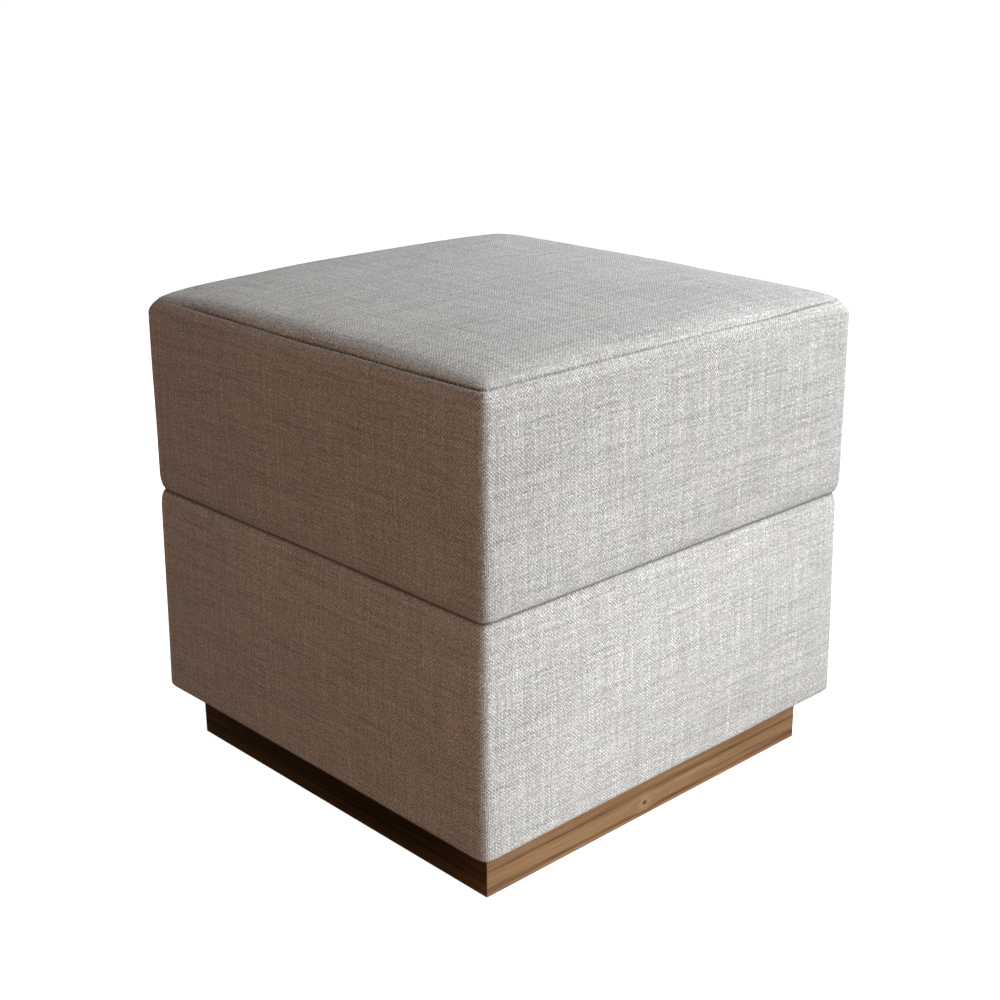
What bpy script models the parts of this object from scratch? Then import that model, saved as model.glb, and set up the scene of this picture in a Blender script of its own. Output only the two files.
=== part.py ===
"""Cube pouf stool: two upholstered blocks, one on the other, on a recessed plinth of mitred boards.

Metres, +Z up. The origin is at floor level under the centre of the stool.
The front of the stool faces -Y and its right side faces +X.
"""

import math

import bmesh
import bpy
from mathutils import Vector

# ---- driving dimensions ----------------------------------------------------------------------

TOTAL_HEIGHT = 0.450          # floor to the highest point of the crown
SEAT_WIDTH = 0.451            # the upper block, square in plan
BODY_WIDTH_TOP = 0.4496       # the lower block just under the groove
BODY_WIDTH_BOTTOM = 0.455     # the lower block just above the plinth, where the cloth is fuller
GROOVE_HEIGHT = 0.2536        # middle of the groove between the two blocks
SEAM_HEIGHT = 0.4342          # seam that joins the top panel to the side band
SEAT_SHIFT = (0.0010, 0.0010)  # the upper block sits this much to the right and to the back

GAP = 0.0003                  # clearance between pieces that touch

PLINTH_WIDTH = 0.4064         # outside of the mitred frame
PLINTH_HEIGHT = 0.050
BOARD_THICKNESS = 0.022
BOARD_ARRIS = 0.0006          # small flat worked on each board's long edges

CORNER_RADIUS = 0.013         # the blocks' upright corners
SIDE_DRAW_IN = 0.0008         # how far the sides pull in between their corners
GROOVE_DEPTH = 0.0050         # how far the edges draw in at the groove
GROOVE_SOFTNESS = 0.014       # height over which they draw in
UNDER_EDGE = 0.0050           # radius of the lower block's underside edge

TOP_DRAW_IN = 0.0009          # how far the side band leans in towards the top
TOP_EDGE = 0.0080             # height of the band's rolled edge under the seam
SEAM_INSET = 0.0034           # the seam's distance inside the side band
CHANNEL_DEPTH = 0.0012        # the sewn channel along the seam
CHANNEL_HALF_WIDTH = 0.0009   # from the channel's edge to its deepest line
ROLL_RISE = 0.0085            # the top panel rises this much close to the seam
ROLL_LENGTH = 0.0090          # and this is the distance over which most of that rise happens

CORNER_STEPS = 6              # facets round each upright corner
SIDE_STEPS = 8                # facets along each side between its corners
EDGE_STEPS = 4                # facets over each soft edge
SIDE_BANDS = 4                # facets up each block's side
# Distances inside the seam of the top panel's rings, close together over its roll.
CROWN_RINGS = (0.0020, 0.0050, 0.0095, 0.0160, 0.0270, 0.0480, 0.0850, 0.1350, 0.1850)
ROUNDEST = 0.6                # largest corner radius of a crown ring, as a share of its half width
SHARP_ANGLE = math.radians(50)  # edges that turn more than this stay crisp

# ---- finishes: colour and roughness ----------------------------------------------------------

LINEN = ((0.62, 0.60, 0.57), 0.9)
TIMBER = ((0.36, 0.20, 0.10), 0.55)

# ---- plan and profile ------------------------------------------------------------------------


def rounded_square(half, radius, height, shift=(0.0, 0.0)):
    """One level ring: a square with round corners whose sides pull in a little, anticlockwise."""
    straight = half - radius
    points = []
    for quarter in range(4):
        turn = math.radians(90 * quarter)
        along = Vector((math.cos(turn), math.sin(turn)))
        across = Vector((-along.y, along.x))
        for step in range(SIDE_STEPS):
            t = -1 + 2 * step / SIDE_STEPS
            pull = SIDE_DRAW_IN * (1 - t * t)
            points.append(along * (half - pull) + across * (straight * t))
        for step in range(CORNER_STEPS):
            angle = math.radians(90) * step / CORNER_STEPS
            arm = along * math.cos(angle) + across * math.sin(angle)
            points.append((along + across) * straight + arm * radius)
    return [(p.x + shift[0], p.y + shift[1], height) for p in points]


def soft_edge(depth, height):
    """(inset, rise) pairs of a cloth-covered edge, from its end face out to the side."""
    pairs = []
    for step in range(EDGE_STEPS + 1):
        angle = math.radians(90) * step / EDGE_STEPS
        pairs.append((depth * (1 - math.sin(angle)), height * (1 - math.cos(angle))))
    return pairs


def crown_rise(distance, reach):
    """Height of the top panel above the seam, at a distance inside it."""
    crown = TOTAL_HEIGHT - SEAM_HEIGHT - ROLL_RISE
    roll = ROLL_RISE * (1 - math.exp(-distance / ROLL_LENGTH))
    return roll + crown * (1 - (1 - distance / reach) ** 2)


# ---- mesh ------------------------------------------------------------------------------------


def plain_material(name, finish):
    """A Principled material of one colour and roughness."""
    colour, roughness = finish
    material = bpy.data.materials.new(name)
    material.use_nodes = True
    shader = material.node_tree.nodes["Principled BSDF"]
    shader.inputs["Base Color"].default_value = (*colour, 1.0)
    shader.inputs["Roughness"].default_value = roughness
    shader.inputs["Metallic"].default_value = 0.0
    return material


def add_object(name, bm, material):
    """Put a finished bmesh in the scene under a name and with a material."""
    mesh = bpy.data.meshes.new(name)
    bmesh.ops.recalc_face_normals(bm, faces=bm.faces)
    bm.to_mesh(mesh)
    bm.free()
    mesh.materials.append(material)
    obj = bpy.data.objects.new(name, mesh)
    bpy.context.collection.objects.link(obj)
    return obj


def loft(name, rings, peak, material):
    """A closed body through level rings, from its underside up to a middle point at peak."""
    bm = bmesh.new()
    loops = []
    for ring in rings:
        loops.append([bm.verts.new(point) for point in ring])
    count = len(loops[0])
    for lower, upper in zip(loops, loops[1:]):
        for i in range(count):
            j = (i + 1) % count
            bm.faces.new((lower[i], lower[j], upper[j], upper[i]))
    for loop, height in ((loops[0], loops[0][0].co.z), (loops[-1], peak)):
        centre = sum((v.co for v in loop), Vector()) / count
        middle = bm.verts.new((centre.x, centre.y, height))
        for i in range(count):
            bm.faces.new((loop[i], loop[(i + 1) % count], middle))
    obj = add_object(name, bm, material)
    obj.data.shade_smooth()
    obj.data.set_sharp_from_angle(angle=SHARP_ANGLE)
    return obj


# ---- the upholstered blocks ------------------------------------------------------------------


def make_body_block(material):
    """The lower filled block, fuller at the bottom than at the top."""
    bottom = PLINTH_HEIGHT + GAP
    top = GROOVE_HEIGHT - GAP / 2
    half_bottom = BODY_WIDTH_BOTTOM / 2
    half_top = BODY_WIDTH_TOP / 2
    rings = []

    def add(half_width, height):
        rings.append(rounded_square(half_width, CORNER_RADIUS, height))

    for inset, rise in soft_edge(UNDER_EDGE, UNDER_EDGE):
        add(half_bottom - inset, bottom + rise)
    low, high = bottom + UNDER_EDGE, top - GROOVE_SOFTNESS
    for step in range(1, SIDE_BANDS):
        t = step / SIDE_BANDS
        add(half_bottom + (half_top - half_bottom) * t, low + (high - low) * t)
    for inset, rise in reversed(soft_edge(GROOVE_DEPTH, GROOVE_SOFTNESS)):
        add(half_top - inset, top - rise)
    return loft("body_block", rings, top, material)


def make_seat_block(material):
    """The upper filled block: side band, sewn channel of the seam, and crowned top panel."""
    bottom = GROOVE_HEIGHT + GAP / 2
    half = SEAT_WIDTH / 2
    half_top = half - TOP_DRAW_IN
    rings = []

    def add(half_width, height, radius=CORNER_RADIUS):
        rings.append(rounded_square(half_width, radius, height, SEAT_SHIFT))

    for inset, rise in soft_edge(GROOVE_DEPTH, GROOVE_SOFTNESS):
        add(half - inset, bottom + rise)
    low, high = bottom + GROOVE_SOFTNESS, SEAM_HEIGHT - TOP_EDGE
    for step in range(1, SIDE_BANDS):
        t = step / SIDE_BANDS
        add(half - TOP_DRAW_IN * t * t, low + (high - low) * t)
    seam_half = half_top - SEAM_INSET
    for inset, drop in reversed(soft_edge(SEAM_INSET, TOP_EDGE)):
        add(half_top - inset, SEAM_HEIGHT - drop)
    add(seam_half - CHANNEL_HALF_WIDTH, SEAM_HEIGHT - CHANNEL_DEPTH)
    for distance in CROWN_RINGS:
        inner = seam_half - distance
        radius = min(CORNER_RADIUS + distance / 2, inner * ROUNDEST)
        add(inner, SEAM_HEIGHT + crown_rise(distance, seam_half), radius)
    return loft("seat_block", rings, TOTAL_HEIGHT, material)


# ---- the plinth ------------------------------------------------------------------------------


def make_plinth_board(name, quarter, material):
    """One board of the plinth, mitred at both ends and turned to its side of the stool."""
    outer = PLINTH_WIDTH / 2
    inner = outer - BOARD_THICKNESS
    mitre_relief = GAP / 2 * math.sqrt(2)
    outline = (
        (-outer + mitre_relief, -outer),
        (outer - mitre_relief, -outer),
        (inner - mitre_relief, -inner),
        (-inner + mitre_relief, -inner),
    )
    bm = bmesh.new()
    face = bm.faces.new([bm.verts.new((x, y, 0.0)) for x, y in outline])
    grown = bmesh.ops.extrude_face_region(bm, geom=[face])
    tops = [v for v in grown["geom"] if isinstance(v, bmesh.types.BMVert)]
    bmesh.ops.translate(bm, verts=tops, vec=(0.0, 0.0, PLINTH_HEIGHT))
    long_edges = [e for e in bm.edges if abs(e.verts[0].co.y - e.verts[1].co.y) < GAP
                  and abs(e.verts[0].co.z - e.verts[1].co.z) < GAP]
    bmesh.ops.bevel(bm, geom=long_edges, offset=BOARD_ARRIS, segments=1, affect="EDGES")
    board = add_object(name, bm, material)
    board.rotation_euler.z = math.radians(90 * quarter)
    return board


def make_plinth():
    """The four boards, anticlockwise from the front."""
    for quarter, side in enumerate(("front", "right", "back", "left")):
        name = f"plinth_{side}"
        make_plinth_board(name, quarter, plain_material(name, TIMBER))


# ---- the stool -------------------------------------------------------------------------------


def main():
    """Clear the scene and build the stool."""
    for obj in list(bpy.data.objects):
        bpy.data.objects.remove(obj, do_unlink=True)
    make_body_block(plain_material("body_block", LINEN))
    make_seat_block(plain_material("seat_block", LINEN))
    make_plinth()


main()
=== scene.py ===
"""Looks of the cube pouf stool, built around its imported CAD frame.

Two upholstered blocks in a pale linen-look cloth stand on a recessed wooden plinth. Each block is
a closed shell of level rings that is blown up as cloth inside its seams, and the boards keep their
CAD meshes. Metres, +Z up; the stool's front faces -Y and its right side faces +X.
"""

import math

import bmesh
import bpy
import numpy as np
from mathutils import Matrix, Vector, kdtree, noise


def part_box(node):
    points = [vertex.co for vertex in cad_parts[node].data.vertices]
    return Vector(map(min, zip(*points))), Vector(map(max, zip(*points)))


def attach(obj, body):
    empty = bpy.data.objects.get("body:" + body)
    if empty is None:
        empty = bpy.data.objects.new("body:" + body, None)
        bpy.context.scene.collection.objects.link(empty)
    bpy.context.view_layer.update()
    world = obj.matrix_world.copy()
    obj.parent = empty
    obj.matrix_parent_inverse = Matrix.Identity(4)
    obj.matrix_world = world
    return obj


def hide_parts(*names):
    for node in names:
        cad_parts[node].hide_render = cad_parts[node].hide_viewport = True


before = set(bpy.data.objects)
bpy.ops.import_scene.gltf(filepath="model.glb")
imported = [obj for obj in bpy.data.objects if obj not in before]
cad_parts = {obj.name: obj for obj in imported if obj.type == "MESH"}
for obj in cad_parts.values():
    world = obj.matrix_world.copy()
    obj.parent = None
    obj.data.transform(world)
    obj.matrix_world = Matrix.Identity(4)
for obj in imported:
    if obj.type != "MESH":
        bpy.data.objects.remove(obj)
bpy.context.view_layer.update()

# ---- sizes -----------------------------------------------------------------------------------

CORNER_RADIUS = 0.018          # reach of the blocks' upright corners
CORNER_POWER = 4.5             # above 2, the corner turns mostly at its middle
# Reach of the corners at the seam: front right, back right, back left, front left.
SEAM_RADII = (0.010, 0.032, 0.030, 0.030)
SIDE_DRAW_IN = 0.0008          # how far the sides pull in between their corners
GROOVE_DEPTH = 0.0040          # how far the edges draw in at the groove
GROOVE_SOFTNESS = 0.016        # height over which they draw in
UNDER_EDGE = 0.0050            # radius of the lower block's underside edge
BODY_LEAN = 0.0027             # the lower block is this much narrower, each side, at its top

SEAM_HEIGHT = 0.4342           # the seam between the side band and the top panel
SEAM_INSET = 0.0060            # the seam's distance inside the side band
BAND_LEAN = 0.0009             # the side band leans in this much towards the top
BAND_ROLL = 0.0130             # height of the band's rolled edge under the seam
ROLL_ANGLE = math.radians(52)  # how far round its arc the rolled edge goes
PANEL_ROLL_RISE = 0.0072       # the top panel rises this much close to the seam
PANEL_ROLL_LENGTH = 0.0072     # and this is the distance over which most of that rise happens
CROWN_POWER = 3                # how the rest of its crown flattens towards the middle
# The panel's filling stands this much higher along the middle of each edge: right, back, left, front.
EDGE_ARCH = (0.0020, 0.0004, 0.0045, 0.0020)
EDGE_ARCH_PLACE = 0.024        # distance inside the seam at which it does so most
# And this much lower at its corners: front right, back right, back left, front left.
CORNER_SAG = (0.0020, 0.0032, 0.0005, 0.0026)

NOTCH_DEPTH = 0.0020           # the sewn line of the seam, pressed into the cloth
NOTCH_HALF_WIDTH = 0.0008
HOLE_DEPTH = 0.0013            # how much deeper it is at a stitch hole
LINE_SHADE, HOLE_SHADE = 0.8, 1.1   # how much painted shade the sewn line and a stitch hole get
STITCH_PITCH = 0.0050
SEAM_WAVE = 0.0012             # the sewn line strays up and down by about a quarter of this
SEAM_WAVE_LENGTH = 0.080
SEAM_REACH = 0.022             # distance from the seam at which the cloth no longer follows it

# How tightly the seam is drawn in, and how strong the painted shade in its sewn line is, at places round
# it:
# 0 is the middle of the right side, 1 of the back, 2 of the left side, 3 of the front, and halves are
# the corners between them. The front's line gets the most painted shade because the front's seam lies in
# shade.
SEAM_PULL_AND_SHADE = ((0.0, 0.50), (0.42, 0.40), (0.5, 0.10), (0.6, 0.6), (1.4, 0.6), (1.5, 0.3), (1.6, 0.6),
             (2.30, 0.6), (2.43, 0.0), (2.58, 0.0), (2.70, 1.0), (3.48, 1.0), (3.53, 0.45), (4.0, 0.50))

COLUMNS = 112                  # columns of faces along each side of a block
COLUMNS_PER_TURN = 36          # for each so many of them, one more column in each half corner
FINE = 3                       # columns near the seam for each one elsewhere
ROW_SPACING = 0.006            # and the height of its rows
EDGE_ROWS = 8                  # rows over each of its soft edges
# Distances inside the seam of the top panel's first rows, close together over its roll.
ROLL_ROWS = (0.0004, 0.0008, 0.0012, 0.0016, 0.0020, 0.0025, 0.0031, 0.0038, 0.0047, 0.0058, 0.0072)
ROLL_LAST_STEP = 0.0018        # from the last of them to the panel's ordinary rows
ROLL_CROWDING = 1.7            # above 1, the band's rows crowd together towards the seam
RING_ROUNDING = 0.5            # its rings' corners grow by this share of their distance inside
ROUNDEST = 0.6                 # up to this share of a ring's half width

GROOVE_SHADE = 0.0014          # height over which the cloth lies in the groove's own shade, painted into its colour
GROOVE_PAINTED_SHADE = 0.6          # and how much darker that painted shade makes it
SEAM_PAINTED_SHADE = 0.8            # and how much darker painted shade makes the seam's sewn line
SEAT_PAINTED_SHADE = 0.93               # the upper block's cloth is painted a little darker than the lower's: painted shade for the bounced light on the lower block's lit side

SIM_COLUMNS = 36               # columns along each side of the mesh that is simulated
SIM_ROW_SPACING = 0.012
SIM_EDGE_ROWS = 3
SIM_FRAMES = 20
HELD_REACH = 0.001             # cloth this close to a sewn line or an end face doesn't move in it
PRESSURE = 0.5                 # of the filling on the cloth
PUFF_CAP = 0.0040              # the most that any point of the cloth may move in it
PUFF_BLUR = 0.009              # distance over which its coarse result is blended
PUFF_REACH = 2.6 * PUFF_BLUR   # and beyond which it no longer counts
UNEVEN = 0.0005                # hand-made unevenness of the filled surfaces
UNEVEN_LENGTH = 0.09
UNEVEN_LIFT = 0.6              # how much of it is up and down

WARP_PITCH = 0.00154           # distance between the yarns that run up the sides
WEFT_PITCH = 0.00150           # and between the yarns that run level
WARP_TONE = 0.885              # their reflectance
WEFT_TONE = 0.575
GAP_PAINTED_SHADE = 0.58                # painted shade in the gaps between them, as a share of that
# The cloth's colour drifts a little between these.
WARM_TINT, COOL_TINT = (1.0, 0.988, 0.974), (0.980, 0.992, 0.978)

# ---- camera, as the stool is seen -----------------------------------------------------------

CAMERA_PLACE = (1.0462, -0.9764, 0.7468)
CAMERA_AZIMUTH = math.radians(46.84)
CAMERA_PITCH = math.radians(19.39)
CAMERA_ROLL = math.radians(-0.36)
CAMERA_LENS = 58.59


def make_camera():
    """The camera at the photograph's viewing angle."""
    data = bpy.data.cameras.new("camera")
    data.lens = CAMERA_LENS
    data.sensor_width = 36.0
    data.clip_end = 100.0
    camera = link("camera", data)
    turn = (
        Matrix.Rotation(CAMERA_AZIMUTH, 4, "Z")
        @ Matrix.Rotation(math.pi / 2 - CAMERA_PITCH, 4, "X")
        @ Matrix.Rotation(CAMERA_ROLL, 4, "Z")
    )
    camera.matrix_world = Matrix.Translation(CAMERA_PLACE) @ turn
    bpy.context.scene.camera = camera


# ---- plan of a block ------------------------------------------------------------------------


DIAGONAL = 0.5 ** (1 / CORNER_POWER)   # where the corner's curve crosses the diagonal


def column_places(columns, half):
    """Places from -1 to 1 along a side, close together where the side turns the corner."""
    core = half - CORNER_RADIUS
    reach = core + CORNER_RADIUS * DIAGONAL
    turn = 3 + columns // COLUMNS_PER_TURN
    steps = np.linspace(0, math.pi / 4, turn + 1)[1:]
    arc = (core + CORNER_RADIUS * np.sin(steps) ** (2 / CORNER_POWER)) / reach
    middle = np.linspace(-core / reach, core / reach, columns - 2 * turn + 1)
    return np.concatenate([-arc[::-1], middle, arc])


def plan_points(half, radii, places):
    """Points (x, y) of a rounded square at places from -1 to 1 along its right-hand side.

    The radii are the reach of the corners at that side's two ends.
    """
    radius = np.where(places < 0, radii[0], radii[1])
    core = half - radius
    y = places * (core + radius * DIAGONAL)
    over = np.clip((np.abs(y) - core) / radius, 0.0, 1.0)
    t = np.clip(np.abs(y) / np.maximum(core, 1e-6), 0.0, 1.0)
    x = half - radius * (1 - (1 - over ** CORNER_POWER) ** (1 / CORNER_POWER))
    return np.stack([x - SIDE_DRAW_IN * (1 - t ** 2), y], 1)


def ring_points(half, radius, places):
    """One ring of (x, y) points, anticlockwise from the front right corner.

    The radius is the reach of its corners: one for all, or one for each in the same order.
    """
    radii = np.broadcast_to(radius, 4)
    ring = []
    for quarter in range(4):
        side = plan_points(half, (radii[quarter], radii[(quarter + 1) % 4]), places)[:-1]
        c, s = round(math.cos(math.pi / 2 * quarter)), round(math.sin(math.pi / 2 * quarter))
        ring.append(np.stack([c * side[:, 0] - s * side[:, 1], s * side[:, 0] + c * side[:, 1]], 1))
    return np.concatenate(ring)


def finer(places, times):
    """The places with each step cut in equal parts."""
    steps = [np.linspace(a, b, times, endpoint=False) for a, b in zip(places, places[1:])]
    return np.append(np.concatenate(steps), places[-1])


# ---- profiles: (inset from the block's full half width, height) pairs -----------------------


def soft_edge(depth, height, steps):
    """A cloth-covered edge, from its end face out to the side."""
    angle = np.linspace(0, math.pi / 2, steps + 1)
    return np.stack([depth * (1 - np.sin(angle)), height * (1 - np.cos(angle))], 1)


def side_profile(low, high, spacing, inset_low, inset_high):
    """Rows up a side between two soft edges."""
    rows = max(2, round((high - low) / spacing))
    t = np.linspace(0, 1, rows + 1)[1:-1]
    return np.stack([inset_low + (inset_high - inset_low) * t, low + (high - low) * t], 1)


def body_profile(bottom, top, spacing, steps):
    """The lower block: full above the plinth, drawn in at the groove."""
    under = soft_edge(UNDER_EDGE, UNDER_EDGE, steps) + (0, bottom)
    side = side_profile(bottom + UNDER_EDGE, top - GROOVE_SOFTNESS, spacing, 0, BODY_LEAN)
    over = soft_edge(GROOVE_DEPTH, GROOVE_SOFTNESS, steps)[::-1]
    over = np.stack([BODY_LEAN + over[:, 0], top - over[:, 1]], 1)
    return np.concatenate([under, side, over])


def band_profile(bottom, spacing, steps):
    """The upper block's side band, from the groove up to where its rolled edge begins."""
    under = soft_edge(GROOVE_DEPTH, GROOVE_SOFTNESS, steps) + (0, bottom)
    side = side_profile(bottom + GROOVE_SOFTNESS, SEAM_HEIGHT - BAND_ROLL, spacing, 0, BAND_LEAN)
    return np.concatenate([under, side])


def roll_profile(steps):
    """The band's rolled edge up to the seam, its rows closer together towards it."""
    angle = ROLL_ANGLE * (1 - (1 - np.linspace(0, 1, steps + 1)) ** ROLL_CROWDING)
    inset = SEAM_INSET * (1 - np.cos(angle)) / (1 - math.cos(ROLL_ANGLE))
    height = BAND_ROLL * (np.sin(angle) / math.sin(ROLL_ANGLE) - 1)
    return np.stack([BAND_LEAN + inset, SEAM_HEIGHT + height], 1)


def panel_rise(distance, reach, peak):
    """Height of the top panel above the seam, at a distance inside it."""
    crown = peak - SEAM_HEIGHT - PANEL_ROLL_RISE
    roll = PANEL_ROLL_RISE * (1 - np.exp(-distance / PANEL_ROLL_LENGTH))
    return roll + crown * (1 - (1 - np.clip(distance / reach, 0, 1)) ** CROWN_POWER)


# ---- a shell of rings ------------------------------------------------------------------------


class Shell:
    """A closed mesh made of level rings, with the cloth's own coordinates, in metres, as a UV map."""

    def __init__(self, centre):
        self.centre = np.array(centre)
        self.points = []
        self.faces = []
        self.cloth = []
        self.count = 0
        self.seam = None   # the numbers of the points on its seam, where it has one

    def add_points(self, xy, height):
        """Append points and return their numbers."""
        xy = np.asarray(xy) + self.centre
        z = np.broadcast_to(height, (len(xy),))
        self.points.append(np.column_stack([xy, z]))
        first = self.count
        self.count += len(xy)
        return np.arange(first, self.count)

    def add_face(self, corners, cloth):
        """One face, anticlockwise from outside, with the cloth coordinates of its corners."""
        self.faces.append(tuple(int(c) for c in corners))
        self.cloth.extend(cloth)

    def band(self, lower, upper, lengths, v_low, v_high):
        """Faces between two rings of equal count, or between a ring and one that is finer.

        The lengths round the ring, one more than there are coarse columns, are the cloth's.
        """
        n = min(len(lower), len(upper))
        per_low, per_high = len(lower) // n, len(upper) // n
        around = np.interp(np.arange(n + 1) * (len(lengths) - 1) / n, np.arange(len(lengths)), lengths)
        for i in range(n):
            u0, u1 = around[i], around[i + 1]
            low = [lower[(i * per_low + k) % len(lower)] for k in range(per_low + 1)]
            high = [upper[(i * per_high + k) % len(upper)] for k in range(per_high + 1)]
            if len(low) == len(high) == 2:
                self.add_face(low + high[::-1], ((u0, v_low), (u1, v_low), (u1, v_high), (u0, v_high)))
            else:
                u_low = np.linspace(u0, u1, per_low + 1)
                u_high = np.linspace(u0, u1, per_high + 1)
                self.fan_out(low, high, u_low, u_high, v_low, v_high)

    def fan_out(self, low, high, u_low, u_high, v_low, v_high):
        """One coarse edge joined to several fine ones: a triangle at each end, a quad between."""
        if len(low) == 2:
            one, many, flip = low, high, False
            u_one, u_many, v_one, v_many = u_low, u_high, v_low, v_high
        else:
            one, many, flip = high, low, True
            u_one, u_many, v_one, v_many = u_high, u_low, v_high, v_low
        a, b = one
        middle = len(many) // 2
        parts = [((a, many[1], many[0]), ((u_one[0], v_one), (u_many[1], v_many), (u_many[0], v_many))),
                 ((a, b, many[middle], many[1]),
                  ((u_one[0], v_one), (u_one[1], v_one), (u_many[middle], v_many), (u_many[1], v_many))),
                 ((b, many[-1], many[middle]),
                  ((u_one[1], v_one), (u_many[-1], v_many), (u_many[middle], v_many)))]
        for corners, cloth in parts:
            if flip:
                corners, cloth = corners[::-1], cloth[::-1]
            self.add_face(corners, cloth)

    def grid_cap(self, ring, places, half, radius, height_of):
        """A crowned cap of quads inside a ring: squares inside squares, each with round corners."""
        n = len(places) - 1
        number = np.full((n + 1, n + 1), -1)
        for k, (i, j) in enumerate(walk_round(0, n)):
            number[i, j] = ring[k]
        for m in range(1, n // 2 + 1):
            share = places[n - m]
            if 2 * m == n:
                number[m, m] = self.add_points([(0.0, 0.0)], height_of(half))[0]
                break
            inner = half * share
            grown = np.minimum(radius + (half - inner) * RING_ROUNDING, inner * ROUNDEST)
            around = ring_points(inner, grown, places[m:n - m + 1] / share)
            numbers = self.add_points(around, height_of(half - inner))
            for k, (i, j) in enumerate(walk_round(m, n - m)):
                number[i, j] = numbers[k]
        flat = np.concatenate(self.points)[:, :2]
        for i in range(n):
            for j in range(n):
                corners = (number[i, j], number[i + 1, j], number[i + 1, j + 1], number[i, j + 1])
                self.add_face(corners, [tuple(flat[c][::-1]) for c in corners])

    def flat_cap(self, ring, height, upward):
        """A level end face, hidden in use: one ring at 0.7 of its width, and a fan inside it."""
        edge = np.concatenate(self.points)[ring][:, :2] - self.centre
        inner = self.add_points(edge * 0.7, height)
        middle = self.add_points([(0.0, 0.0)], height)[0]
        n = len(ring)
        flat = np.concatenate(self.points)[:, :2]
        for i in range(n):
            j = (i + 1) % n
            for corners in ((ring[i], ring[j], inner[j], inner[i]), (inner[i], inner[j], middle)):
                if not upward:
                    corners = corners[::-1]
                self.add_face(corners, [tuple(flat[c]) for c in corners])

    def mesh(self, name):
        """The finished mesh, smooth shaded."""
        mesh = bpy.data.meshes.new(name)
        mesh.from_pydata(np.concatenate(self.points).tolist(), [], self.faces)
        layer = mesh.uv_layers.new(name="cloth")
        layer.data.foreach_set("uv", np.array(self.cloth, np.float32).ravel())
        mesh.shade_smooth()
        mesh.update()
        return mesh


def walk_round(low, high):
    """Grid places round a square of a grid, in the order of a ring's points."""
    steps = range(high - low)
    return ([(high, low + k) for k in steps] + [(high - k, high) for k in steps]
            + [(low, high - k) for k in steps] + [(low + k, low) for k in steps])


def link(name, data):
    """An object for a mesh, a light or a camera, in the scene."""
    obj = bpy.data.objects.new(name, data)
    bpy.context.scene.collection.objects.link(obj)
    return obj


def link_bmesh(name, bm):
    """An object for a finished bmesh, in the scene."""
    mesh = bpy.data.meshes.new(name)
    bm.to_mesh(mesh)
    bm.free()
    return link(name, mesh)


# ---- the blocks' shells ----------------------------------------------------------------------


def corner_radius(height):
    """Reach of a block's four corners at a height: over the rolled edge it turns into the seam's."""
    t = min(max((height - SEAM_HEIGHT + BAND_ROLL) / BAND_ROLL, 0.0), 1.0)
    return CORNER_RADIUS + (np.array(SEAM_RADII) - CORNER_RADIUS) * t * t * (3 - 2 * t)


def raise_rings(shell, profile, half, places, below, fine=1):
    """Rings for each row of a profile, each joined to the one below; the last one comes back.

    A ring is (its points' numbers, its row of the profile, its distance up the cloth).
    """
    spots = finer(places, fine) if fine > 1 else places
    plan = ring_points(half, CORNER_RADIUS, places)
    steps = np.linalg.norm(np.diff(np.vstack([plan, plan[:1]]), axis=0), axis=1)
    lengths = np.concatenate([[0.0], np.cumsum(steps)])
    for row in profile:
        ring = shell.add_points(ring_points(half - row[0], corner_radius(row[1]), spots), row[1])
        if below is not None:
            v = below[2] + float(np.hypot(*(row - below[1])))
            shell.band(below[0], ring, lengths, below[2], v)
        else:
            v = 0.0
        below = (ring, row, v)
    return below


def body_shell(low, high, columns, spacing, steps):
    """The lower block's shell."""
    half = (high.x - low.x) / 2
    shell = Shell(((low.x + high.x) / 2, (low.y + high.y) / 2))
    places = column_places(columns, half)
    profile = body_profile(low.z, high.z, spacing, steps)
    first = raise_rings(shell, profile[:1], half, places, None)
    last = raise_rings(shell, profile[1:], half, places, first)
    shell.flat_cap(first[0], low.z, upward=False)
    shell.flat_cap(last[0], high.z, upward=True)
    return shell


def panel_rows(inside, reach, peak):
    """Rows of the top panel at some distances inside the seam."""
    inside = np.array(inside)
    return np.stack([BAND_LEAN + SEAM_INSET + inside, SEAM_HEIGHT + panel_rise(inside, reach, peak)], 1)


def seat_shell(low, high, columns, spacing, steps, fine=1):
    """The upper block's shell, with its columns close together along the seam."""
    half = (high.x - low.x) / 2
    shell = Shell(((low.x + high.x) / 2, (low.y + high.y) / 2))
    places = column_places(columns, half)
    band = band_profile(low.z, spacing, steps)
    first = raise_rings(shell, band[:1], half, places, None)
    shell.flat_cap(first[0], low.z, upward=False)
    below = raise_rings(shell, band[1:], half, places, first)
    below = raise_rings(shell, roll_profile(steps + 2), half, places, below, fine)
    shell.seam = below[0]
    reach = half - BAND_LEAN - SEAM_INSET
    inside = 0.0
    if fine > 1:
        below = raise_rings(shell, panel_rows(ROLL_ROWS, reach, high.z), half, places, below, fine)
        # One more row, with its columns as wide apart as the rest of the panel's.
        inside = ROLL_ROWS[-1] + ROLL_LAST_STEP
        below = raise_rings(shell, panel_rows([inside], reach, high.z), half, places, below)
    shell.grid_cap(below[0], places, reach - inside, np.array(SEAM_RADII),
                   lambda distance: SEAM_HEIGHT + panel_rise(distance + inside, reach, high.z))
    return shell


# ---- cloth simulation ------------------------------------------------------------------------


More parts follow.
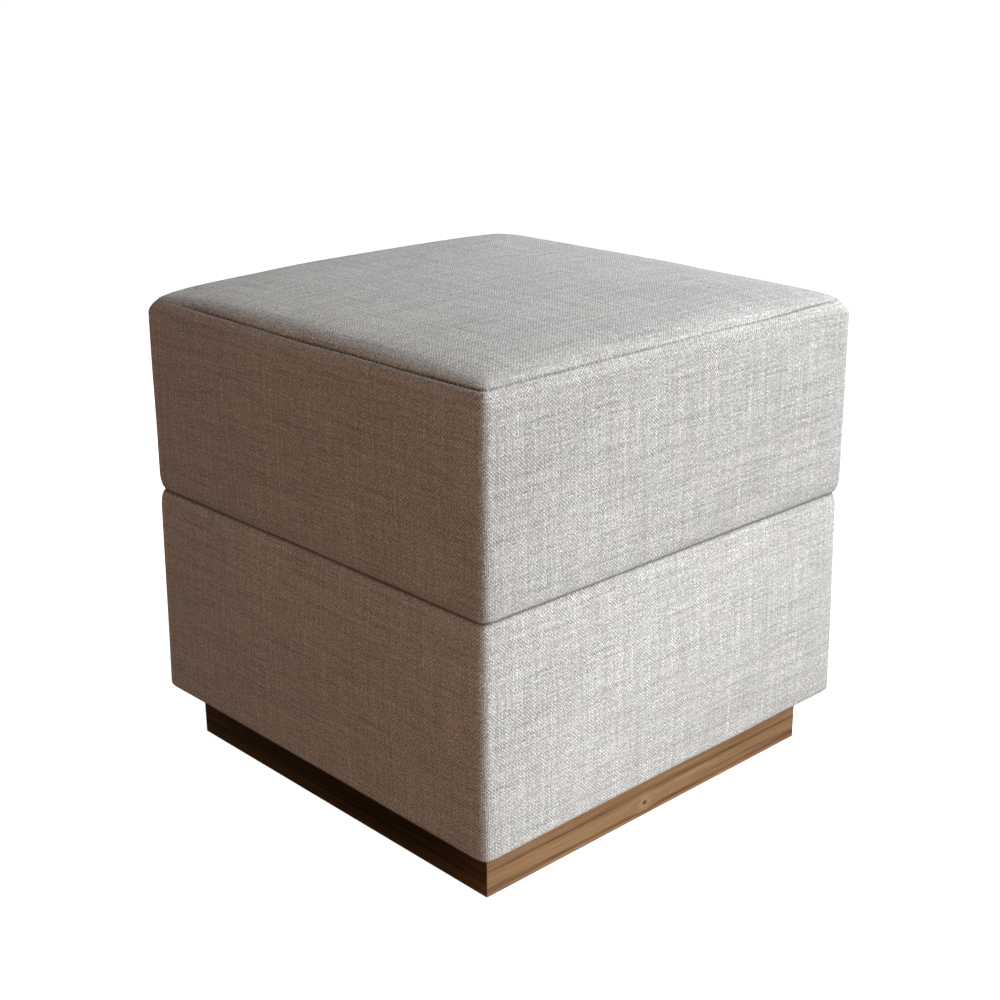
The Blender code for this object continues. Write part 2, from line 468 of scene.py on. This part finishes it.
def puff(name, shell, held):
    """How far each point of a shell moves when it is blown up as cloth, with the held points fixed."""
    obj = link(name, shell.mesh(name))
    start = np.array([v.co for v in obj.data.vertices])
    group = obj.vertex_groups.new(name="held")
    group.add([int(i) for i in np.nonzero(held(start))[0]], 1.0, "REPLACE")
    cloth = obj.modifiers.new("cloth", "CLOTH")
    settings = cloth.settings
    settings.quality = 6
    settings.mass = 0.3
    settings.tension_stiffness = 200
    settings.compression_stiffness = 200
    settings.shear_stiffness = 100
    settings.bending_stiffness = 20
    settings.use_pressure = True
    settings.uniform_pressure_force = PRESSURE
    settings.vertex_group_mass = "held"
    settings.effector_weights.gravity = 0
    cloth.collision_settings.use_collision = False
    scene = bpy.context.scene
    for number in range(1, SIM_FRAMES + 1):
        scene.frame_set(number)
    shape = obj.evaluated_get(bpy.context.evaluated_depsgraph_get()).data
    moved = np.array([v.co for v in shape.vertices]) - start
    scene.frame_set(1)
    bpy.data.objects.remove(obj)
    reach = np.linalg.norm(moved, axis=1, keepdims=True)
    return start, moved * np.minimum(1.0, PUFF_CAP / np.maximum(reach, 1e-9))


def spread(points, start, moved):
    """The simulated movement at other points, blended from the simulated ones around each."""
    tree = kdtree.KDTree(len(start))
    for i, place in enumerate(start):
        tree.insert(place, i)
    tree.balance()
    result = np.zeros_like(points)
    for i, place in enumerate(points):
        near = tree.find_range(place, PUFF_REACH)
        weight = np.array([math.exp(-((d / PUFF_BLUR) ** 2)) for _, _, d in near])
        result[i] = weight @ moved[[k for _, k, _ in near]] / weight.sum()
    return result


def unevenness(points, size, seed):
    """A smooth value from about -1 to 1 at each point, for the slight unevenness of hand work."""
    shift = Vector((seed * 3.7, seed * 1.3, seed * 2.1))
    return np.array([noise.noise(Vector(p) / size + shift) for p in points])


# ---- the upholstered blocks -----------------------------------------------------------------


def groove_shade(points, contact):
    """How much painted shade each point gets at the groove where the two blocks meet, from 0 to 1."""
    return np.exp(-(((points[:, 2] - contact) / GROOVE_SHADE) ** 2))


def finish_block(name, shell, points, tone, node):
    """Make a block's piece from its shell, final points and their tone; put it under the root body and
    hide its CAD part.
    """
    shell.points = [points]
    mesh = shell.mesh(name)
    layer = mesh.attributes.new("cloth_tone_and_shade", "FLOAT", "POINT")
    layer.data.foreach_set("value", tone)
    piece = link(name, mesh)
    mesh.materials.append(linen_material())
    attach(piece, "root")
    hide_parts(node)


def settle(name, shell, coarse, held, seed):
    """The shell's points after the simulation, with the slight unevenness of filled cloth."""
    points = np.concatenate(shell.points)
    points = points + spread(points, *puff(name + "_sim", coarse, held))
    centre = points.mean(0)
    outward = points - centre
    outward[:, 2] *= UNEVEN_LIFT
    outward /= np.linalg.norm(outward, axis=1, keepdims=True)
    return points + outward * (UNEVEN * unevenness(points, UNEVEN_LENGTH, seed))[:, None]


def make_body():
    """The lower block."""
    low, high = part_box("body_block")
    shell = body_shell(low, high, COLUMNS, ROW_SPACING, EDGE_ROWS)
    coarse = body_shell(low, high, SIM_COLUMNS, SIM_ROW_SPACING, SIM_EDGE_ROWS)

    def held(points):
        """Whether each point is on one of the end faces."""
        return (points[:, 2] < low.z + HELD_REACH) | (points[:, 2] > high.z - HELD_REACH)

    points = settle("body_cushion", shell, coarse, held, 1)
    # Painted shade at the groove under the upper block.
    tone = 1 - GROOVE_PAINTED_SHADE * groove_shade(points, high.z)
    finish_block("body_cushion", shell, points, tone, "body_block")


def make_seat():
    """The upper block, with the sewn line of its seam; returns that line's points and its rim."""
    low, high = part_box("seat_block")
    shell = seat_shell(low, high, COLUMNS, ROW_SPACING, EDGE_ROWS, FINE)
    coarse = seat_shell(low, high, SIM_COLUMNS, SIM_ROW_SPACING, SIM_EDGE_ROWS)

    def held(points):
        """Whether each point is on the seam or the end face."""
        seam = np.abs(points[:, 2] - SEAM_HEIGHT) < HELD_REACH
        return seam | (points[:, 2] < low.z + HELD_REACH)

    rim = Rim((low + high) / 2, (high.x - low.x) / 2 - BAND_LEAN - SEAM_INSET)
    points = arch_edges(settle("seat_cushion", shell, coarse, held, 2), rim)
    points, shade = sew_seam(points, rim)
    # Painted shade over the whole upper block, in the seam's sewn line and at the groove.
    tone = SEAT_PAINTED_SHADE * (1 - SEAM_PAINTED_SHADE * shade) * (1 - GROOVE_PAINTED_SHADE * groove_shade(points, low.z))
    finish_block("seat_cushion", shell, points, tone, "seat_block")
    return points[shell.seam], rim


class Rim:
    """The line of the seam in plan: a square with round corners."""

    def __init__(self, centre, reach):
        self.centre = centre
        self.reach = reach
        self.radii = np.array(SEAM_RADII)
        self.halves = reach - self.radii * (1 - math.pi / 4)
        self.middles = 2 * np.array([0.0, *np.cumsum(self.halves[1:])])
        length = 2 * self.halves.sum()
        self.stitches = round(length / STITCH_PITCH)
        self.pitch = length / self.stitches

    def where(self, points):
        """For points: distance along the rim and place round it, distance inside it, and outward.

        The place counts whole sides from the middle of the right one; outward is (x, y).
        """
        x, y = points[:, 0] - self.centre.x, points[:, 1] - self.centre.y
        side = np.floor((np.arctan2(y, x) + math.pi / 4) / (math.pi / 2)).astype(int) % 4
        c, s = np.cos(side * math.pi / 2), np.sin(side * math.pi / 2)
        across, along = c * x + s * y, c * y - s * x
        corner = np.where(along < 0, side, side + 1) % 4
        radius = self.radii[corner]
        past = np.maximum(np.abs(along) - self.reach + radius, 0)
        out = across - self.reach + radius
        turn = np.arctan2(past, np.maximum(out, 1e-9)) * (past > 0)
        far = np.sign(along) * (np.minimum(np.abs(along), self.reach - radius) + radius * turn)
        power = (np.maximum(out, 0) ** CORNER_POWER + past ** CORNER_POWER) ** (1 / CORNER_POWER)
        inside = radius - np.where(out > 0, power, out)
        normal = np.column_stack([np.cos(turn), np.sin(turn) * np.sign(along)])
        normal = np.column_stack([c * normal[:, 0] - s * normal[:, 1],
                                  s * normal[:, 0] + c * normal[:, 1]])
        return self.middles[side] + far, side + 0.5 * far / self.halves[corner], inside, normal


def arch_edges(points, rim):
    """Raise the top panel along the middle of its edges, and lower it at its corners."""
    _, place, inside, _ = rim.where(points)
    middle = 1 - np.abs(2 * (place - np.round(place))) ** 2.5
    share = np.maximum(inside, 0) / EDGE_ARCH_PLACE
    bulge = share * np.exp(1 - share) * (points[:, 2] > SEAM_HEIGHT - 0.001)
    points = points.copy()
    arch = np.array(EDGE_ARCH)[np.round(place).astype(int) % 4]
    sag = np.array(CORNER_SAG)[np.floor(place + 1).astype(int) % 4]
    points[:, 2] += ((arch + sag) * middle - sag) * bulge
    return points


def sew_seam(points, rim):
    """Press the seam's sewn line, its stitch holes and its waviness into the seat's points.

    Returns the points, and for each how much painted shade it gets in the sewn line and its holes, from
    0 to 1.
    """
    along, place, inside, normal = rim.where(points)
    near = np.exp(-(((points[:, 2] - SEAM_HEIGHT) / SEAM_REACH) ** 2) - (inside / SEAM_REACH) ** 2)
    wave = np.array([noise.noise(Vector((a / SEAM_WAVE_LENGTH, 0.5, 0.2))) for a in along])
    points = points.copy()
    across = np.hypot(inside, points[:, 2] - SEAM_HEIGHT) / NOTCH_HALF_WIDTH
    pressed = np.exp(-(across ** 2))
    hole = (0.5 + 0.5 * np.cos(2 * math.pi * along / rim.pitch)) ** 2
    spots, pulls_and_shades = zip(*SEAM_PULL_AND_SHADE)
    pull_and_shade = np.interp(place % 4, spots, pulls_and_shades)
    depth = (NOTCH_DEPTH * pull_and_shade + HOLE_DEPTH * hole * np.sqrt(pull_and_shade)) * pressed
    # The cloth faces outward and up here, about as much one as the other.
    points[:, :2] -= normal * (depth * 0.72)[:, None]
    points[:, 2] += SEAM_WAVE * wave * near - depth * 0.70
    # Painted shade in the sewn line and its stitch holes, darkest at the front, where the seam lies in
    # shade.
    shade = LINE_SHADE * pull_and_shade ** 2 + HOLE_SHADE * hole * np.sqrt(pull_and_shade)
    return points, np.minimum(pressed * shade, 1.0)


# ---- nodes -----------------------------------------------------------------------------------


class Nodes:
    """Short ways to write a node tree."""

    def __init__(self, tree):
        self.tree = tree

    def add(self, kind, **values):
        """A node, with its properties set."""
        node = self.tree.nodes.new(kind)
        for name, value in values.items():
            setattr(node, name, value)
        return node

    def put(self, value, socket):
        """Link a socket, or set a plain value."""
        if isinstance(value, bpy.types.NodeSocket):
            self.tree.links.new(value, socket)
        elif isinstance(value, (tuple, list)) and len(socket.default_value) == 4 and len(value) == 3:
            socket.default_value = (*value, 1.0)
        else:
            socket.default_value = value

    def math(self, operation, a, b=0.0, c=0.0, clamp=False):
        """A Math node's result."""
        node = self.add("ShaderNodeMath", operation=operation, use_clamp=clamp)
        for value, socket in zip((a, b, c), node.inputs):
            self.put(value, socket)
        return node.outputs[0]

    def spread(self, value, low, high, to_low=0.0, to_high=1.0, smooth=True):
        """Map Range from one span to another."""
        kind = "SMOOTHSTEP" if smooth else "LINEAR"
        node = self.add("ShaderNodeMapRange", interpolation_type=kind, clamp=True)
        for v, socket in zip((value, low, high, to_low, to_high), node.inputs):
            self.put(v, socket)
        return node.outputs[0]

    def vector(self, x, y, z=0.0):
        """Combine XYZ."""
        node = self.add("ShaderNodeCombineXYZ")
        for value, socket in zip((x, y, z), node.inputs):
            self.put(value, socket)
        return node.outputs[0]

    def noise(self, place, scale=1.0, detail=2.0, roughness=0.5, dimensions="3D"):
        """A Noise Texture's value."""
        node = self.add("ShaderNodeTexNoise", noise_dimensions=dimensions)
        self.put(place, node.inputs["Vector"])
        node.inputs["Scale"].default_value = scale
        node.inputs["Detail"].default_value = detail
        node.inputs["Roughness"].default_value = roughness
        return node.outputs[0]

    def random(self, place, dimensions="1D"):
        """White Noise from a number, or from a vector."""
        node = self.add("ShaderNodeTexWhiteNoise", noise_dimensions=dimensions)
        self.put(place, node.inputs["W" if dimensions == "1D" else "Vector"])
        return node.outputs["Value"]

    def mix(self, factor, a, b, blend="MIX"):
        """Mix two colours."""
        node = self.add("ShaderNodeMix", data_type="RGBA", blend_type=blend)
        self.put(factor, node.inputs[0])
        self.put(a, node.inputs[6])
        self.put(b, node.inputs[7])
        return node.outputs[2]

    def mix_value(self, factor, a, b):
        """Mix two numbers."""
        node = self.add("ShaderNodeMix", data_type="FLOAT")
        for value, socket in zip((factor, a, b), (node.inputs[0], node.inputs[2], node.inputs[3])):
            self.put(value, socket)
        return node.outputs[0]

    def shade(self, colour, tone):
        """A colour times a number."""
        return self.mix(1.0, colour, self.vector(tone, tone, tone), "MULTIPLY")

    def around(self, value, size):
        """A noise's value less its middle, times a size."""
        return self.math("MULTIPLY", self.math("SUBTRACT", value, 0.5), size)

    def bump(self, height, strength, distance, shader):
        """Roughen a shader's surface with a height."""
        node = self.add("ShaderNodeBump")
        node.inputs["Strength"].default_value = strength
        node.inputs["Distance"].default_value = distance
        self.put(height, node.inputs["Height"])
        self.put(node.outputs[0], shader.inputs["Normal"])


def new_material(name):
    """An empty Principled material: (material, its nodes, its shader)."""
    material = bpy.data.materials.new(name)
    material.use_nodes = True
    shader = material.node_tree.nodes["Principled BSDF"]
    return material, Nodes(material.node_tree), shader


# ---- linen -----------------------------------------------------------------------------------


def yarn_count(n, cloth, axis, pitch, seed):
    """A cloth coordinate counted in yarns, which bend a little and are spaced unevenly."""
    spot = n.vector(*cloth, seed)
    bend = n.around(n.noise(spot, 14.0, 1.0), 0.005)
    uneven = n.around(n.noise(spot, 70.0, 1.0), 1.3)
    return n.math("ADD", n.math("DIVIDE", n.math("ADD", cloth[axis], bend), pitch), uneven)


def yarn(n, number, along, seed, own, slubs):
    """A yarn's tone, around 1, and how thick it is here: its own shade, and slubs along it."""
    shade = n.random(n.math("ADD", number, seed))
    spot = n.vector(n.math("MULTIPLY", number, 7.31), n.math("MULTIPLY", along, 0.018), seed)
    slub = n.math("SUBTRACT", n.noise(spot, 1.0, 1.0, 0.5), 0.5)
    tone = n.math("MULTIPLY_ADD", shade, own, 1.0 - own / 2)
    return n.math("MULTIPLY_ADD", slub, slubs, tone), slub


def weave(n, cloth):
    """The cloth's tone and its relief, from its upright and level yarns going over and under, with
    painted shade in the gaps.
    """
    u = yarn_count(n, cloth, 0, WARP_PITCH, 0.0)
    v = yarn_count(n, cloth, 1, WEFT_PITCH, 3.0)
    warp, weft = n.math("FLOOR", u), n.math("FLOOR", v)
    warp_tone, warp_slub = yarn(n, warp, v, 11.0, 0.12, 0.7)
    weft_tone, weft_slub = yarn(n, weft, u, 47.0, 0.18, 1.2)

    # Which yarn lies on top: a checkerboard whose squares grow with the thicker yarn, and a level
    # yarn that is darker is also the thicker one.
    wave_u = n.math("SINE", n.math("MULTIPLY", u, math.pi))
    wave_v = n.math("SINE", n.math("MULTIPLY", v, math.pi))
    check = n.math("MULTIPLY", wave_u, wave_v)
    grain = n.random(n.vector(warp, weft, 5.0), "3D")
    lead = n.math("MULTIPLY_ADD", warp_slub, 0.5, n.math("MULTIPLY", weft_slub, 0.6))
    lead = n.math("ADD", n.around(grain, 0.50), lead)
    over = n.spread(n.math("ADD", check, lead), -0.25, 0.25)

    tone = n.mix_value(over, n.math("MULTIPLY", weft_tone, WEFT_TONE),
                       n.math("MULTIPLY", warp_tone, WARP_TONE))
    sparkle = n.random(n.vector(warp, weft, 9.0), "3D")
    tone = n.math("MULTIPLY", tone, n.math("MULTIPLY_ADD", sparkle, 0.34, 0.83))
    height = n.math("POWER", n.math("ABSOLUTE", check), 0.5)
    # Painted shade in the gaps between the yarns.
    tone = n.math("MULTIPLY", tone, n.spread(height, 0.0, 0.6, GAP_PAINTED_SHADE, 1.0))
    return tone, n.math("MULTIPLY_ADD", n.mix_value(over, weft_slub, warp_slub), 1.5, height)


def linen_material():
    """A slubby plain weave: level and upright yarns of slightly different tone, over and under."""
    found = bpy.data.materials.get("linen_weave")
    if found:
        return found
    material, n, shader = new_material("linen_weave")
    place = n.add("ShaderNodeUVMap", uv_map="cloth").outputs[0]
    split = n.add("ShaderNodeSeparateXYZ")
    n.put(place, split.inputs[0])
    cloth = split.outputs[:2]
    tone, relief = weave(n, cloth)

    fleck = n.noise(n.vector(cloth[0], n.math("MULTIPLY", cloth[1], 0.65), 2.0), 800.0, 2.0, 0.6)
    tone = n.math("MULTIPLY", tone, n.math("MULTIPLY", fleck, 2.0))
    patch = n.noise(place, 11.0, 3.0, 0.6)
    tone = n.math("MULTIPLY", tone, n.math("MULTIPLY_ADD", patch, 0.14, 0.93))
    # The blocks' tone, with painted shade over the upper block, in the seam's sewn line and at the
    # groove.
    own = n.add("ShaderNodeAttribute", attribute_name="cloth_tone_and_shade").outputs["Fac"]
    tone = n.math("MULTIPLY", tone, own)
    warmth = n.noise(n.vector(*cloth, 8.0), 24.0, 2.0)
    tint = n.mix(n.spread(warmth, 0.35, 0.65), WARM_TINT, COOL_TINT)
    n.put(n.shade(tint, tone), shader.inputs["Base Color"])

    fuzz = n.noise(place, 2600.0, 2.0, 0.6)
    n.bump(n.math("MULTIPLY_ADD", fuzz, 0.25, relief), 0.9, 0.0005, shader)
    shader.inputs["Roughness"].default_value = 0.92
    shader.inputs["Specular IOR Level"].default_value = 0.15
    shader.inputs["Sheen Weight"].default_value = 0.15
    shader.inputs["Sheen Roughness"].default_value = 0.5
    return material


# ---- wood ------------------------------------------------------------------------------------

# The wood's colour from its darkest to its palest grain, as (tone, colour), and its knots'.
WOOD_COLOURS = ((0.10, (0.105, 0.045, 0.018)), (0.52, (0.310, 0.172, 0.080)),
                (0.92, (0.480, 0.305, 0.160)))
KNOT_COLOUR = (0.150, 0.060, 0.025)
EDGE_WEAR = 0.0016             # width of the darker band along a board's worked edges
EDGE_WEAR_TONE = 0.72
GLUE_COLOURS = (0.040, 0.018, 0.008), (0.085, 0.045, 0.022)
GLUE_HALF = 0.00013            # half the thickness of the glue in a mitre
GLUE_INSET = 0.0006            # and how far inside the boards' faces it lies

# Each board: which axis runs along it, a seed, knots as (place along, height, size), and darker
# streaks that run its whole length as (height, half width, strength). Metres.
BOARDS = {
    # The right board's top streak, just under the cloth, is painted shadow of the overhanging cloth as
    # well as darker grain.
    "plinth_right": ("Y", 3.0, ((-0.012, 0.0125, 0.0026), (0.172, 0.036, 0.0022)),
                     ((0.048, 0.0110, 0.42), (0.0235, 0.0016, 0.26), (0.006, 0.0030, 0.22))),
    "plinth_front": ("X", 8.0, ((0.085, 0.034, 0.0025),), ((0.041, 0.0060, 0.25), (0.014, 0.0015, 0.2))),
    "plinth_back": ("X", 15.0, ((-0.120, 0.030, 0.0032),), ((0.020, 0.0070, 0.25), (0.038, 0.001, 0.2))),
    "plinth_left": ("Y", 21.0, ((0.060, 0.018, 0.0028), (-0.150, 0.036, 0.0022)),
                    ((0.030, 0.0050, 0.25), (0.009, 0.0015, 0.2))),
}


def knot_shapes(n, along, height, knots):
    """Where the knots are: (their dark middles, the pale rings round them, how far grain bends)."""
    middle, ring, bend = 0.0, 0.0, 0.0
    for knot_along, knot_height, size in knots:
        dx = n.math("MULTIPLY", n.math("SUBTRACT", along, knot_along), 0.75)
        dz = n.math("SUBTRACT", height, knot_height)
        far = n.math("SQRT", n.math("ADD", n.math("MULTIPLY", dx, dx), n.math("MULTIPLY", dz, dz)))
        far = n.math("DIVIDE", far, size)
        middle = n.math("MAXIMUM", middle, n.spread(far, 0.45, 1.15, 1.0, 0.0))
        ring = n.math("MAXIMUM", ring, n.spread(far, 1.0, 3.4, 1.0, 0.0))
        side = n.spread(dz, -size, size, -size, size)
        bend = n.math("MULTIPLY_ADD", n.spread(far, 1.0, 6.0, 1.3, 0.0), side, bend)
    return middle, ring, bend


def board_grain(n, along, level, depth, seed, strips):
    """A board's tone with its darker streaks, and its grain and fibre, all drawn out along it."""

    def streak(along_scale, across_scale, shift, detail, roughness):
        spot = n.vector(n.math("MULTIPLY_ADD", along, along_scale, seed + shift),
                        n.math("MULTIPLY", level, across_scale),
                        n.math("MULTIPLY", depth, across_scale))
        return n.noise(spot, 1.0, detail, roughness)

    broad = streak(2.6, 75.0, 0.0, 2.0, 0.5)
    grain = streak(7.0, 330.0, 9.0, 3.0, 0.65)
    fibre = streak(34.0, 1400.0, 17.0, 2.0, 0.6)
    tone = n.math("ADD", n.around(broad, 0.75), 0.58)
    tone = n.math("ADD", n.around(grain, 1.05), tone)
    tone = n.math("ADD", n.around(fibre, 0.60), tone)
    wander = n.around(streak(6.0, 10.0, 31.0, 1.0, 0.5), 0.005)
    for strip_height, half_width, strength in strips:
        far = n.math("ABSOLUTE", n.math("SUBTRACT", n.math("ADD", level, wander), strip_height))
        strip = n.spread(far, half_width * 0.4, half_width, strength, 0.0)
        tone = n.math("SUBTRACT", tone, n.math("MULTIPLY", strip, n.spread(broad, 0.3, 0.7, 0.6, 1.3)))
    return tone, grain, fibre


def timber_material(name):
    """Oiled mid-brown wood with its grain along the board, darker streaks and small knots."""
    axis, seed, knots, strips = BOARDS[name]
    material, n, shader = new_material("timber_" + name)
    split = n.add("ShaderNodeSeparateXYZ")
    n.put(n.add("ShaderNodeTexCoord").outputs["Object"], split.inputs[0])
    along, height = split.outputs[axis], split.outputs["Z"]
    depth = split.outputs["X" if axis == "Y" else "Y"]
    knot_middle, knot_ring, bend = knot_shapes(n, along, height, knots)
    level = n.math("SUBTRACT", height, bend)
    tone, grain, fibre = board_grain(n, along, level, depth, seed, strips)
    tone = n.math("MULTIPLY_ADD", knot_ring, 0.28, tone)
    colour = n.mix(knot_middle, wood_ramp(n, tone), KNOT_COLOUR)
    # The oil has soaked in a little darker along the worked edges.
    low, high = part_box(name)
    edge = n.math("MINIMUM", height, n.math("SUBTRACT", high.z - low.z, height))
    worn = n.spread(edge, 0.0, EDGE_WEAR, EDGE_WEAR_TONE, 1.0)
    n.put(n.shade(colour, worn), shader.inputs["Base Color"])

    n.put(n.math("MULTIPLY_ADD", fibre, 0.22, 0.42), shader.inputs["Roughness"])
    n.bump(n.math("MULTIPLY_ADD", fibre, 0.6, n.math("MULTIPLY", grain, 0.5)), 0.35, 0.0003, shader)
    shader.inputs["Specular IOR Level"].default_value = 0.35
    return material


def wood_ramp(n, tone):
    """The wood's colour for a tone."""
    ramp = n.add("ShaderNodeValToRGB")
    n.put(tone, ramp.inputs[0])
    stops = ramp.color_ramp.elements
    stops.new(0.5)
    for stop, (position, colour) in zip(stops, WOOD_COLOURS):
        stop.position = position
        stop.color = (*colour, 1.0)
    return ramp.outputs[0]


def finish_plinth():
    """Give each CAD board its own piece of wood."""
    for name in BOARDS:
        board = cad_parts[name]
        board.data.materials.clear()
        board.data.materials.append(timber_material(name))


def make_mitre_glue():
    """The dark glue lines that close the mitres between the boards."""
    low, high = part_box("plinth_right")
    inner, outer = low.x + GLUE_INSET, high.x - GLUE_INSET
    bottom, top = low.z + GLUE_INSET, high.z - GLUE_INSET
    step = GLUE_HALF / math.sqrt(2)
    outline = ((inner + step, inner - step), (outer + step, outer - step),
               (outer - step, outer + step), (inner - step, inner + step))
    bm = bmesh.new()
    for quarter in range(4):
        turn = Matrix.Rotation(math.pi / 2 * quarter, 3, "Z")
        face = bm.faces.new([bm.verts.new(turn @ Vector((x, y, bottom))) for x, y in outline])
        grown = bmesh.ops.extrude_face_region(bm, geom=[face])
        tops = [v for v in grown["geom"] if isinstance(v, bmesh.types.BMVert)]
        bmesh.ops.translate(bm, verts=tops, vec=(0, 0, top - bottom))
    bmesh.ops.recalc_face_normals(bm, faces=bm.faces)
    piece = link_bmesh("mitre_glue", bm)
    piece.data.materials.append(glue_material())
    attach(piece, "root")


def glue_material():
    """Dried wood glue, darkened with dust."""
    material, n, shader = new_material("glue")
    dust = n.noise(n.add("ShaderNodeTexCoord").outputs["Object"], 900.0, 2.0)
    n.put(n.mix(dust, *GLUE_COLOURS), shader.inputs["Base Color"])
    shader.inputs["Roughness"].default_value = 0.6
    return material


# ---- stitches --------------------------------------------------------------------------------

THREAD_RADIUS = 0.00028
THREAD_SIDES = 6
THREAD_THIN = 0.35             # share of its radius where it dives into a stitch hole
# A stitch: (share of the way from one hole to the next, height over the sewn line).
STITCH = ((0.20, 0.0001), (0.50, 0.0005), (0.80, 0.0001))


def make_stitches(seam, rim):
    """The sewing thread that shows in the seam: one short stitch between each pair of holes."""
    closed = np.vstack([seam, seam[:1]])
    lengths = np.concatenate([[0.0], np.cumsum(np.linalg.norm(np.diff(closed, axis=0), axis=1))])
    step = lengths[-1] / rim.stitches
    bm = bmesh.new()
    for k in range(rim.stitches):
        line = [Vector([np.interp((k + share) * step, lengths, closed[:, axis]) for axis in range(3)])
                for share, _ in STITCH]
        normal = rim.where(np.array([line[1]]))[3]
        lift = Vector((*normal[0], 1.0)).normalized()
        for point, (_, rise) in zip(line, STITCH):
            point += lift * rise
        add_thread(bm, line)
    piece = link_bmesh("seam_stitches", bm)
    piece.data.shade_smooth()
    piece.data.materials.append(thread_material())
    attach(piece, "root")


def add_thread(bm, line):
    """A short closed tube along three points, thin at both ends."""
    rings = []
    stations = [(line[0], THREAD_THIN), (line[0].lerp(line[1], 0.5), 1.0), (line[1], 1.0),
                (line[1].lerp(line[2], 0.5), 1.0), (line[2], THREAD_THIN)]
    axis = (line[2] - line[0]).normalized()
    side = axis.cross(Vector((0, 0, 1))).normalized()
    up = side.cross(axis)
    for middle, share in stations:
        ring = []
        for k in range(THREAD_SIDES):
            angle = 2 * math.pi * k / THREAD_SIDES
            arm = side * math.cos(angle) + up * math.sin(angle)
            ring.append(bm.verts.new(middle + arm * THREAD_RADIUS * share))
        rings.append(ring)
    for a, b in zip(rings, rings[1:]):
        for k in range(THREAD_SIDES):
            j = (k + 1) % THREAD_SIDES
            bm.faces.new((a[k], a[j], b[j], b[k])[::-1])
    bm.faces.new(rings[0])
    bm.faces.new(rings[-1][::-1])


def thread_material():
    """Pale grey sewing thread with a twist."""
    material, n, shader = new_material("thread")
    place = n.add("ShaderNodeTexCoord").outputs["Object"]
    twist = n.noise(place, 3000.0, 1.0)
    tone = n.spread(twist, 0.3, 0.7, 0.30, 0.48)
    n.put(n.vector(tone, tone, n.math("MULTIPLY", tone, 0.96)), shader.inputs["Base Color"])
    shader.inputs["Roughness"].default_value = 0.7
    return material


# ---- stage -----------------------------------------------------------------------------------

FLOOR_SIZE = 40.0
# Each floor: height, colour, glow, and whether the camera sees it or only bounced light does.
FLOORS = {
    "floor": (-0.0004, (0.80, 0.80, 0.80), 1.0, True),
    "floor_bounce": (-0.0012, (0.16, 0.13, 0.105), 0.0, False),
}
FLAG = (-0.22, 0.250, -0.40, -0.232, 0.049)   # x from and to, y from and to, height
STOOL_MIDDLE = (0.0, 0.0, 0.25)
STOOL_TOP = (0.0, 0.0, 0.45)
WORLD_COLOUR = (0.055, 0.062, 0.072)


def make_floor():
    """A plain pale floor, and under it a dim one that only bounced light sees."""
    for name, (height, colour, glow, seen) in FLOORS.items():
        bm = bmesh.new()
        bmesh.ops.create_grid(bm, x_segments=1, y_segments=1, size=FLOOR_SIZE)
        floor = link_bmesh(name, bm)
        floor.location.z = height
        material, _, shader = new_material(name)
        shader.inputs["Base Color"].default_value = (*colour, 1)
        shader.inputs["Roughness"].default_value = 1.0
        shader.inputs["Specular IOR Level"].default_value = 0.0
        shader.inputs["Emission Color"].default_value = (1, 1, 1, 1)
        shader.inputs["Emission Strength"].default_value = glow
        floor.data.materials.append(material)
        floor.visible_camera = seen
        floor.visible_diffuse = not seen
        floor.visible_glossy = not seen


def make_flag():
    """A dark card by the front of the plinth that keeps its board in the stool's shade."""
    low_x, high_x, low_y, high_y, height = FLAG
    bm = bmesh.new()
    corners = ((low_x, low_y), (high_x, low_y), (high_x, high_y), (low_x, high_y))
    bm.faces.new([bm.verts.new((x, y, height)) for x, y in corners])
    flag = link_bmesh("flag", bm)
    material, _, shader = new_material("flag")
    shader.inputs["Base Color"].default_value = (0.02, 0.02, 0.02, 1)
    shader.inputs["Roughness"].default_value = 1.0
    flag.data.materials.append(material)
    flag.visible_camera = False


def add_light(name, place, target, size, power, colour):
    """A soft square light that faces a point."""
    data = bpy.data.lights.new(name, "AREA")
    data.shape = "SQUARE"
    data.size = size
    data.energy = power
    data.color = colour
    light = link(name, data)
    light.location = place
    light.visible_camera = False
    aim = Vector(target) - Vector(place)
    light.rotation_euler = aim.to_track_quat("-Z", "Y").to_euler()


def polar(azimuth, elevation, distance):
    """A place around the stool's middle: azimuth from +X towards +Y, in degrees."""
    turn, lift = math.radians(azimuth), math.radians(elevation)
    level = distance * math.cos(lift)
    return (level * math.cos(turn), level * math.sin(turn), STOOL_MIDDLE[2] + distance * math.sin(lift))


def make_lights():
    """Soft daylight from the right, a soft light overhead, and weak warm fills."""
    add_light("key", polar(42, 14, 2.8), STOOL_MIDDLE, 1.5, 46.0, (0.985, 0.995, 1.010))
    add_light("overhead", (0.60, 0.85, 1.30), STOOL_TOP, 1.3, 22.0, (0.97, 1.0, 0.99))
    add_light("fill_front", polar(-60, 13, 2.5), STOOL_MIDDLE, 1.2, 11.5, (1.0, 0.54, 0.29))
    add_light("fill_left", polar(190, 10, 2.5), STOOL_MIDDLE, 1.2, 7.4, (1.0, 0.70, 0.52))
    add_light("bounce_right", (0.70, -0.08, 0.06), (0.2, -0.15, 0.13), 0.28, 1.45, (1.0, 1.0, 1.0))


def make_world():
    """Weak, slightly cool light from all round; the camera sees it as pale as the floor."""
    world = bpy.data.worlds.new("world")
    world.use_nodes = True
    n = Nodes(world.node_tree)
    back = world.node_tree.nodes["Background"]
    seen = n.add("ShaderNodeLightPath").outputs["Is Camera Ray"]
    n.put(n.mix(seen, WORLD_COLOUR, (1.0, 1.0, 1.0)), back.inputs[0])
    bpy.context.scene.world = world


# ---- the scene -------------------------------------------------------------------------------


def main():
    """Build every piece and the stage."""
    scene = bpy.context.scene
    scene.view_settings.view_transform = "Standard"
    make_camera()
    make_body()
    seam, rim = make_seat()
    make_stitches(seam, rim)
    finish_plinth()
    make_mitre_glue()
    make_floor()
    make_flag()
    make_lights()
    make_world()


main()
